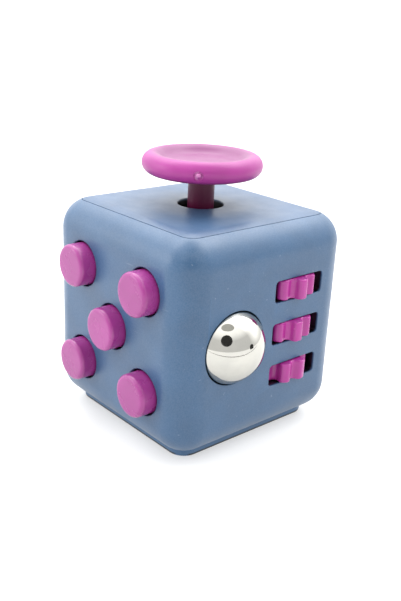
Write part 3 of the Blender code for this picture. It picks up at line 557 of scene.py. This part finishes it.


# Painted shade: near black painted on deep walls, in gaps, in the cavity and along the base plate's lowest
# edge.
PAINTED_SHADE = (0.001, 0.002, 0.003)  # the dark of deep gaps
# Painted light on the joystick: the dish and the stem darkened as painted shade, and pale painted highlight
# flecks on the moulding mark.
STICK_PAINTED_LIGHT = [(dish_painted_shade, (0.2, 0.04, 0.15)), (gate_painted_highlight, (0.46, 0.15, 0.36)), (stem_painted_shade, (0.085, 0.0, 0.03))]
# The shell and the top cover carry painted shade: near black on deep walls, in gaps and in the cavity.
SHELL = plastic(
    "shell_plastic", (0.024, 0.078, 0.165), gloss=(0.3, 0.42), grain=0.3, dust=0.35, wear=0.25, haze=0.6,
    areas=[(deep_painted_shade, PAINTED_SHADE)],
)
COVER = plastic(
    "cover_plastic", (0.03, 0.078, 0.16), gloss=(0.36, 0.46), grain=0.7, dust=0.25, wear=0.2, haze=0.62,
    areas=[(deep_painted_shade, PAINTED_SHADE)],
)
# The base plate carries painted contact shadow: near black along its lowest edge.
BASE = plastic(
    "base_plastic", (0.03, 0.092, 0.19), gloss=(0.3, 0.42), grain=0.3, dust=0.35, wear=0.2, haze=0.62,
    areas=[(foot_contact_shadow, PAINTED_SHADE)],
)
MAGENTA = plastic(
    "magenta_plastic", (0.28, 0.03, 0.2), gloss=(0.2, 0.32), grain=0.2, dust=0.03, wear=0.3, haze=0.55,
)
GEAR = plastic(
    "gear_plastic", (0.34, 0.025, 0.225), gloss=(0.16, 0.28), grain=0.15, dust=0.03, wear=0.3, haze=0.5,
)
STICK = plastic(
    "stick_plastic", (0.30, 0.03, 0.21), gloss=(0.34, 0.44), grain=0.2, dust=0.03, wear=0.2, haze=0.36,
    areas=STICK_PAINTED_LIGHT,
)
BLACK = plastic("black_acetal", (0.012, 0.012, 0.013), gloss=(0.35, 0.5), dust=0.03, wear=0.1)
GREY = plastic("grey_plastic", (0.28, 0.29, 0.31), gloss=(0.4, 0.55), dust=0.1, wear=0.2)
STEEL = zinc_steel("spring_steel")
SILICONE = silicone()
CHROME = polished_steel()


# --- Shell and covers -------------------------------------------------------------------------------


def cube_block(name):
    """The whole cube's outer form, with its round edges and corners."""
    bm = bmesh.new()
    rounded_block(bm, (-HALF, -HALF, BASE_STEP), (HALF, HALF, TOP), EDGE_RADIUS)
    return solid(name, bm)


def hollow_out(shell):
    """The cavity, the base plate's opening and the top cover's opening with its soft edge."""
    upper = TOP - COVER_THICKNESS - LIP
    lower = COVER_THICKNESS + BASE_STEP + LIP
    bm = bmesh.new()
    prism(bm, rounded_rectangle(INNER, INNER, INNER_CORNER), "Z", lower, upper)
    cut(shell, bm)
    bm = bmesh.new()
    opening = COVER_HALF + COVER_SEAM
    prism(bm, rounded_rectangle(opening, opening, BASE_CORNER + COVER_SEAM), "Z", -1, lower + 1)
    cut(shell, bm)
    bm = bmesh.new()
    stack = []
    for grow, level in ((0, upper - 1), (0, TOP - 0.16), (0.05, TOP - 0.05), (0.16, TOP), (0.16, TOP + 1)):
        reach = opening + grow
        stack.append((level, rounded_rectangle(reach, reach, COVER_CORNER + COVER_SEAM + grow)))
    layers(bm, stack, "Z")
    cut(shell, bm)


def open_button_face(shell):
    bm = bmesh.new()
    for name in BUTTONS:
        middle = span_middle(f"button_{name}")
        flared_hole(bm, BUTTON_HOLE, HALF, 3, (middle.x, 0, middle.z), (0, -1, 0))
    cut(shell, bm)


def open_ball_and_gear_face(shell):
    bm = bmesh.new()
    middle = (GEAR_AXIS.y, span_middle("gear_2").z)
    pocket = rounded_rectangle(SLOT_HALF_WIDTH + 0.3, GEAR_POCKET_HALF_HEIGHT, 0.5, middle)
    prism(bm, pocket, "X", INNER - 1, GEAR_POCKET)
    cut(shell, bm)
    bm = bmesh.new()
    for index in (1, 2, 3):
        centre = (GEAR_AXIS.y, span_middle(f"gear_{index}").z)
        flared_slot(
            bm, SLOT_HALF_WIDTH, SLOT_HALF_HEIGHT, SLOT_CORNER, centre, "X", HALF, 2.5, SLOT_FILLET
        )
    cut(shell, bm)
    bm = bmesh.new()
    surface = HALF - BALL_CENTRE.x
    rim = math.degrees(math.acos((surface - 0.15) / BALL_CUT))
    mouth = BALL_CUT * math.sin(math.radians(rim))
    profile = [(0, -BALL_CUT)] + arc(0, 0, BALL_CUT, -84, 90 - rim, 24)
    profile += [(mouth + 0.05, surface - 0.05), (mouth + 0.16, surface + 0.01)]
    profile += [(mouth + 0.16, surface + 1), (0, surface + 1)]
    turned(bm, profile, BALL_CENTRE, (1, 0, 0))
    cut(shell, bm)


def open_rocker_and_dial_faces(shell):
    bm = bmesh.new()
    flared_slot(bm, *ROCKER_OPENING, ROCKER_OPENING_CORNER, (0, ROCKER_Z), "Y", HALF, 3)
    cut(shell, bm)
    bm = bmesh.new()
    flared_hole(bm, DIAL_RECESS, HALF, DIAL_RECESS_DEPTH, (0, 0, DIAL_Z), (-1, 0, 0))
    cut(shell, bm)
    bm = bmesh.new()
    profile = [(0, 12), (DIAL_SHAFT_HOLE, 12), (DIAL_SHAFT_HOLE, HALF + 1), (0, HALF + 1)]
    turned(bm, profile, (0, 0, DIAL_Z), (-1, 0, 0), SMALL_ROUND)
    cut(shell, bm)


def shell_piece():
    shell = cube_block("shell_moulding")
    hollow_out(shell)
    open_button_face(shell)
    open_ball_and_gear_face(shell)
    open_rocker_and_dial_faces(shell)
    return place(shell, "cube", "body_shell", "shell_blue", SHELL)


def top_cover_piece():
    """The top plate: the cube's outer form inside the cover's outline, with a chamfered edge."""
    cover = cube_block("top_cover_moulding")
    bm = bmesh.new()
    stack = []
    for grow, depth in ((0, COVER_THICKNESS), (0, 0.1), (-0.03, 0.03), (-0.1, 0), (-1.1, -1)):
        reach = COVER_HALF + grow
        stack.append((TOP - depth, rounded_rectangle(reach, reach, COVER_CORNER + grow * 0.9)))
    layers(bm, stack, "Z")
    combine(cover, bm, "INTERSECT")
    bm = bmesh.new()
    flared_hole(bm, STICK_HOLE, TOP, 4, (0, 0, 0), (0, 0, 1), 0.18)
    cut(cover, bm)
    return place(cover, "cube", "top_cover", "shell_blue", COVER)


def bottom_cover_piece():
    """The base plate, with softened lower edges and a smooth thumb hollow."""
    bm = bmesh.new()
    height = COVER_THICKNESS + BASE_STEP
    fillet = 0.25
    stack = []
    for inset, level in ((fillet, 0), (fillet * 0.29, fillet * 0.29), (0, fillet), (0, height)):
        outline = rounded_rectangle(COVER_HALF - inset, COVER_HALF - inset, BASE_CORNER - inset)
        stack.append((level, outline))
    layers(bm, stack, "Z")
    cover = solid("base_cover_moulding", bm)
    bm = bmesh.new()
    radius = 9.5
    depth = 1.9
    sphere = (radius**2 + depth**2) / (2 * depth)
    steps = 23
    profile = [(0, -1), (radius + 0.5, -1), (radius + 0.5, -0.02), (radius + 0.22, 0.03), (radius, 0.06)]
    for i in range(1, steps + 1):
        out = radius * (1 - i / steps)
        profile.append((out, depth - sphere + math.sqrt(sphere**2 - out**2)))
    turned(bm, profile, (0, 0, 0), (0, 0, 1))
    cut(cover, bm)
    return place(cover, "cube", "bottom_cover", "shell_blue", BASE)


# --- Joystick ---------------------------------------------------------------------------------------


def joystick_piece():
    """The stick and its dished disc as one turned form, with the moulding mark on the rim."""
    shoulder = PIVOT_Z + 2.9
    peg = 1.1
    peg_end = DISC_LOW.z
    profile = [(0, peg_end), (peg - 0.2, peg_end), (peg, peg_end + 0.2), (peg, shoulder)]
    profile += [(STICK_RADIUS - 0.15, shoulder), (STICK_RADIUS, shoulder + 0.15)]
    profile += [(STICK_RADIUS, DISC_UNDERSIDE - STEM_FILLET)]
    profile += arc(STICK_RADIUS + STEM_FILLET, DISC_UNDERSIDE - STEM_FILLET, STEM_FILLET, 180, 90, 6)
    profile += arc(RIM_CENTRE, RIM_Z, RIM_RADIUS, -128, 105, 40)
    for inward, up in ((0.9, 1.36), (1.35, 1.05), (1.8, 0.72)):
        profile.append((RIM_CENTRE - inward, RIM_Z + up))
    for inward, up in ((2.3, 0.12), (2.9, 0.02), (3.6, 0)):
        profile.append((RIM_CENTRE - inward, DISH_Z + up))
    profile.append((0, DISH_Z))
    bm = bmesh.new()
    turned(bm, profile, (0, 0, 0), (0, 0, 1))
    stick = solid("joystick_moulding", bm)
    bm = bmesh.new()
    pit = [(0, -GATE_PIT_DEPTH), (GATE_PIT_RADIUS, -GATE_PIT_DEPTH), (GATE_PIT_RADIUS + 0.15, 0.3), (0, 0.3)]
    turned(bm, pit, GATE_SPOT, GATE_AXIS, 24)
    cut(stick, bm)
    bm = bmesh.new()
    round_top = arc(0, -0.15, GATE_BUTTON_RADIUS, 0, 90, 6)[:-1]
    button = [(0, -0.4), (GATE_BUTTON_RADIUS, -0.4), *round_top, (0, GATE_BUTTON_RADIUS - 0.15)]
    turned(bm, button, GATE_SPOT - GATE_AXIS * 0.1, GATE_AXIS, 16)
    join(stick, bm)
    return place(stick, "joystick", "joystick", "magenta", STICK, 50)


# --- Buttons ----------------------------------------------------------------------------------------


def button_piece(name):
    """A cap with a soft front edge, a flange behind the wall and a pin that presses the dome."""
    low, high = span(f"button_{name}")
    middle = (low + high) / 2
    rear = -high.y + 0.2
    height = -low.y - rear
    profile = [(0, -0.2), (0.6, -0.2), (0.7, -0.1), (0.7, 4.0), (2.3, 4.0), (2.3, 0), (FLANGE_RADIUS, 0)]
    profile += [(FLANGE_RADIUS, 0.9), (BUTTON_RADIUS, 0.9)]
    profile += arc(BUTTON_RADIUS - CAP_FILLET, height - CAP_FILLET, CAP_FILLET, 0, 86, 8)
    profile += [(BUTTON_RADIUS - CAP_FILLET - 0.3, height), (0, height)]
    bm = bmesh.new()
    turned(bm, profile, (middle.x, -rear, middle.z), (0, -1, 0))
    return place(solid(f"cap_{name}", bm), f"button_{name}", f"button_{name}", "magenta", MAGENTA, 50)


# --- Ball and gears ---------------------------------------------------------------------------------


def ball_piece():
    steps = 64
    profile = [(0, -BALL_RADIUS)]
    for i in range(1, steps):
        angle = math.pi * i / steps
        profile.append((BALL_RADIUS * math.sin(angle), -BALL_RADIUS * math.cos(angle)))
    profile.append((0, BALL_RADIUS))
    bm = bmesh.new()
    turned(bm, profile, BALL_CENTRE, (1, 0, 0))
    return place(solid("ball_polished", bm), "click_ball", "click_ball", "chrome", CHROME, 60)


def gear_outline(phase, inset=0.0):
    """Rounded teeth: the radius swings between root and tip, flattened at both."""
    middle = (GEAR_TIP + GEAR_ROOT) / 2
    swing = (GEAR_TIP - GEAR_ROOT) / 2
    crest = math.tanh(GEAR_TOOTH_FLATNESS * (1 + GEAR_TOOTH_WIDENING))
    count = GEAR_TEETH * 28
    outline = []
    for i in range(count):
        angle = math.tau * i / count
        lift = math.cos(GEAR_TEETH * angle) + GEAR_TOOTH_WIDENING
        wave = math.tanh(GEAR_TOOTH_FLATNESS * lift) / crest
        radius = middle + swing * wave - inset
        turn = angle + math.radians(phase)
        outline.append((GEAR_AXIS.x + radius * math.cos(turn), GEAR_AXIS.y + radius * math.sin(turn)))
    return outline


def gear_piece(index, phase):
    low, high = span(f"gear_{index}")
    stack = []
    for out, up in arc(GEAR_EDGE, GEAR_EDGE, GEAR_EDGE, 270, 180, 4):
        stack.append((low.z + up, gear_outline(phase, out)))
    for out, up in arc(GEAR_EDGE, -GEAR_EDGE, GEAR_EDGE, 180, 90, 4):
        stack.append((high.z + up, gear_outline(phase, out)))
    bm = bmesh.new()
    layers(bm, stack, "Z")
    gear = solid(f"thumb_gear_{index}", bm)
    bm = bmesh.new()
    profile = [(0, low.z - 1), (AXLE_HOLE, low.z - 1), (AXLE_HOLE, high.z + 1), (0, high.z + 1)]
    turned(bm, profile, (GEAR_AXIS.x, GEAR_AXIS.y, 0), (0, 0, 1), SMALL_ROUND)
    cut(gear, bm)
    return place(gear, f"gear_{index}", f"gear_{index}", "magenta", GEAR, 40)


# --- Rocker and dial --------------------------------------------------------------------------------


def rocker_piece():
    """The rocker: a dished finger face, two round ends and a narrow foot, turned to its rest position."""
    low, high = span("rocker")
    corner = 0.5
    dished = ((0, 4.05), (1.2, 4.1), (2.4, 4.3), (3.4, 4.62))
    foot = ((0.3, -2.3), (1.6, -1.4), (3.4, 0.8))
    outline = [(ROCKER_LENGTH, 4.0)]
    outline += arc(ROCKER_LENGTH - corner, ROCKER_CROWN - corner, corner, 0, 80, 6)
    outline += [(along, out) for along, out in reversed(dished)]
    outline += [(-along, out) for along, out in dished[1:]]
    outline += arc(corner - ROCKER_LENGTH, ROCKER_CROWN - corner, corner, 100, 180, 6)
    outline += [(-ROCKER_LENGTH, 4.0)]
    outline += [(-along, out) for along, out in reversed(foot)]
    outline += [(along, out) for along, out in foot]
    tilt = math.radians(-ROCKER_TILT)
    placed = []
    for along, out in outline:
        y = ROCKER_PIVOT_Y + out * math.cos(tilt) - along * math.sin(tilt)
        z = ROCKER_Z + out * math.sin(tilt) + along * math.cos(tilt)
        placed.append((y, z))
    bm = bmesh.new()
    prism(bm, placed, "X", low.x, high.x)
    bmesh.ops.recalc_face_normals(bm, faces=bm.faces)
    ends = [edge for edge in bm.edges if abs(edge.verts[0].co.x - edge.verts[1].co.x) < 1e-6]
    bmesh.ops.bevel(bm, geom=ends, offset=0.25, segments=4, profile=0.5, affect="EDGES", clamp_overlap=True)
    piece = solid("rocker_moulding", bm)
    bm = bmesh.new()
    profile = [(0, -5), (ROCKER_PIN_HOLE, -5), (ROCKER_PIN_HOLE, 5), (0, 5)]
    turned(bm, profile, (0, ROCKER_PIVOT_Y, ROCKER_Z), (1, 0, 0), SMALL_ROUND)
    cut(piece, bm)
    return place(piece, "rocker", "rocker", "magenta", MAGENTA, 40)


def dial_piece():
    """The dial: a shaft, a disc with a raised rim, and a nub to turn it by."""
    back = HALF - DIAL_RECESS_DEPTH + 0.3
    shaft = DIAL_SHAFT_HOLE - 0.15
    profile = [(0, DIAL_SHAFT_END), (shaft - 0.15, DIAL_SHAFT_END), (shaft, DIAL_SHAFT_END + 0.15)]
    profile += [(shaft, back), (DIAL_RADIUS - 0.15, back), (DIAL_RADIUS, back + 0.15)]
    profile += arc(DIAL_RADIUS - 0.6, DIAL_FRONT - 0.6, 0.6, 0, 90, 10)
    profile += arc(DIAL_RADIUS - 1.4, DIAL_FRONT - 0.5, 0.5, 90, 180, 8)
    profile += [(DIAL_RADIUS - 2.1, DIAL_FRONT - 0.5), (0, DIAL_FRONT - 0.5)]
    bm = bmesh.new()
    turned(bm, profile, (0, 0, DIAL_Z), (-1, 0, 0))
    dial = solid("dial_moulding", bm)
    nub_floor = DIAL_FRONT - 1.2
    profile = [(0, nub_floor), (NUB_RADIUS + 0.3, nub_floor), (NUB_RADIUS + 0.3, DIAL_FRONT - 0.45)]
    profile += arc(NUB_RADIUS + 0.45, DIAL_FRONT - 0.2, 0.3, 210, 180, 3)
    profile += arc(NUB_RADIUS - 1.0, NUB_FRONT - 1.0, 1.0, 0, 90, 10)
    profile += [(0, NUB_FRONT)]
    bm = bmesh.new()
    turned(bm, profile, (0, 0, DIAL_Z - NUB_OFFSET), (-1, 0, 0), SMALL_ROUND)
    join(dial, bm)
    return place(dial, "spin_dial", "spin_dial", "magenta", MAGENTA, 45)


# --- Inner pieces that keep their CAD shape ---------------------------------------------------------

BY_SLOT = {
    "black_plastic": BLACK,
    "grey_plastic": GREY,
    "silicone": SILICONE,
    "steel": STEEL,
    "shell_blue": SHELL,
    "magenta": MAGENTA,
    "chrome": CHROME,
}


def dress_inner_pieces():
    for part in frame["record"]["subparts"]:
        obj = frame["nodes"][part["node"]]
        obj.data.materials.clear()
        obj.data.materials.append(BY_SLOT[part["material_slot"]])


def flexing_piece(node, slot):
    """A dome or a spring: a smoothed copy of its CAD node with its material, put on the cube in place of that
    node.
    """
    bpy.context.view_layer.update()
    source = frame["nodes"][node]
    obj = bpy.data.objects.new(f"{node}_flexing", source.data.copy())
    bpy.context.scene.collection.objects.link(obj)
    obj.matrix_world = source.matrix_world.copy()
    obj.data.materials.clear()
    obj.data.materials.append(BY_SLOT[slot])
    obj.data.shade_smooth()
    obj.data.set_sharp_from_angle(angle=math.radians(40))
    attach(obj, "cube")
    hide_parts(node)
    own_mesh(obj)


def flexing_pieces():
    for name in BUTTONS:
        slot = "silicone" if name in QUIET_BUTTONS else "steel"
        flexing_piece(f"dome_{name}", slot)
    flexing_piece("ball_spring", "steel")
    flexing_piece("rocker_spring", "steel")


# --- Studio -----------------------------------------------------------------------------------------


def towards_sky(azimuth, elevation):
    """A unit direction from its azimuth, turned from -Y towards +X, and its elevation."""
    flat = math.cos(elevation)
    return Vector((math.sin(azimuth) * flat, -math.cos(azimuth) * flat, math.sin(elevation)))


def camera():
    data = bpy.data.cameras.new("camera")
    data.lens = VIEW_LENS
    data.clip_start = 0.005
    obj = bpy.data.objects.new("camera", data)
    bpy.context.scene.collection.objects.link(obj)
    back = towards_sky(VIEW_AZIMUTH, VIEW_ELEVATION)
    right = (-back).cross(Vector((0, 0, 1))).normalized()
    up = right.cross(-back)
    across = math.cos(VIEW_ROLL) * right + math.sin(VIEW_ROLL) * up
    upward = math.cos(VIEW_ROLL) * up - math.sin(VIEW_ROLL) * right
    turn = Matrix((across, upward, back)).transposed().to_4x4()
    obj.matrix_world = Matrix.Translation(Vector(VIEW_PLACE) * MM) @ turn
    bpy.context.scene.camera = obj


def side_light(name, stands_at, aim, side, power):
    """A square soft light."""
    data = bpy.data.lights.new(name, "AREA")
    data.shape = "RECTANGLE"
    data.size = side
    data.size_y = side
    data.energy = power
    obj = bpy.data.objects.new(name, data)
    bpy.context.scene.collection.objects.link(obj)
    obj.location = stands_at
    obj.rotation_mode = "QUATERNION"
    obj.rotation_quaternion = (Vector(aim) - Vector(stands_at)).to_track_quat("-Z", "Y")
    obj.visible_camera = False


def flat_oval(name, half_width, half_height, segments):
    bm = bmesh.new()
    bmesh.ops.create_circle(bm, cap_ends=True, segments=segments, radius=1)
    mesh = bpy.data.meshes.new(name)
    bm.to_mesh(mesh)
    bm.free()
    mesh.transform(Matrix.Diagonal((half_width, half_height, 1, 1)))
    obj = bpy.data.objects.new(name, mesh)
    bpy.context.scene.collection.objects.link(obj)
    return obj


def card(name, target, azimuth, elevation, distance, half_size, shade):
    """An oval card outside the view that only mirrors see."""
    away = towards_sky(math.radians(azimuth), math.radians(elevation))
    obj = flat_oval(name, *half_size, 32)
    turn = away.to_track_quat("Z", "Y").to_matrix().to_4x4()
    obj.matrix_world = Matrix.Translation(target + away * distance) @ turn
    n = Nodes(name)
    n.link(n.mix(n.spread(n.noise(60, 2), 0, 1), (*shade, 1), tint(shade, 0.8)), "Base Color")
    n.shader.inputs["Roughness"].default_value = 0.8
    obj.data.materials.append(n.material)
    obj.visible_camera = False
    obj.visible_diffuse = False
    obj.visible_shadow = False


def surround():
    """The studio's soft glow by height: even in front of the object, with a bright band behind it."""
    world = bpy.data.worlds.new("studio")
    bpy.context.scene.world = world
    world.use_nodes = True
    background = world.node_tree.nodes["Background"]
    n = WorldNodes(world)
    height, behind = n.direction()
    front_glow = n.ramp(height, ((0, 0.21), (0.5, 0.22), (0.7, 0.36), (0.85, 0.42), (1, 0.46)))
    bright_band = ((0, 0.25), (0.25, 0.44), (0.6, 0.56), (0.78, 1.3), (0.88, 1.3), (0.97, 0.55), (1, 0.46))
    rear_glow = n.ramp(height, bright_band)
    share = n.spread(behind, 0, 1, -0.2, 0.2)
    glow = n.add("ShaderNodeMix", {0: share, 2: front_glow, 3: rear_glow}, data_type="FLOAT").outputs[0]
    n.tree.links.new(n.math("MULTIPLY", glow, 5.0), background.inputs["Strength"])
    background.inputs["Color"].default_value = (1, 1, 1, 1)


def lit_floor():
    """A pale floor that gives off a little light of its own."""
    floor = flat_oval("floor", 1.5, 1.5, 96)
    floor.location.z = -0.00005
    n = Nodes("floor_paper")
    n.link(n.mix(n.spread(n.noise(60, 3), 0, 1), (0.41, 0.41, 0.41, 1), (0.43, 0.43, 0.43, 1)), "Base Color")
    n.shader.inputs["Roughness"].default_value = 0.6
    n.shader.inputs["Emission Color"].default_value = (1, 1, 1, 1)
    n.shader.inputs["Emission Strength"].default_value = 0.5
    floor.data.materials.append(n.material)


def studio():
    bpy.context.scene.view_settings.view_transform = "Standard"
    surround()
    lit_floor()
    side_light("left_light", (-0.35, -0.5, 0.2), (0, 0, 0.02), 0.3, 1.0)
    ball = BALL_CENTRE * MM
    near_black = (0.01, 0.01, 0.01)
    card("camera_card", ball, 50, 31, 0.12, (0.034, 0.034), near_black)
    card("shade_card", ball, 56, 69, 0.3, (0.09, 0.06), (0.45, 0.45, 0.43))
    card("horizon_card", ball, 70, -13, 0.075, (0.35, 0.0018), (0.12, 0.12, 0.12))
    card("dark_card", ball, 125, 1, 0.3, (0.034, 0.034), near_black)


shell_piece()
top_cover_piece()
bottom_cover_piece()
joystick_piece()
for button in BUTTONS:
    button_piece(button)
ball_piece()
for gear, gear_phase in enumerate(GEAR_PHASES, 1):
    gear_piece(gear, gear_phase)
rocker_piece()
dial_piece()
dress_inner_pieces()
flexing_pieces()
camera()
studio()
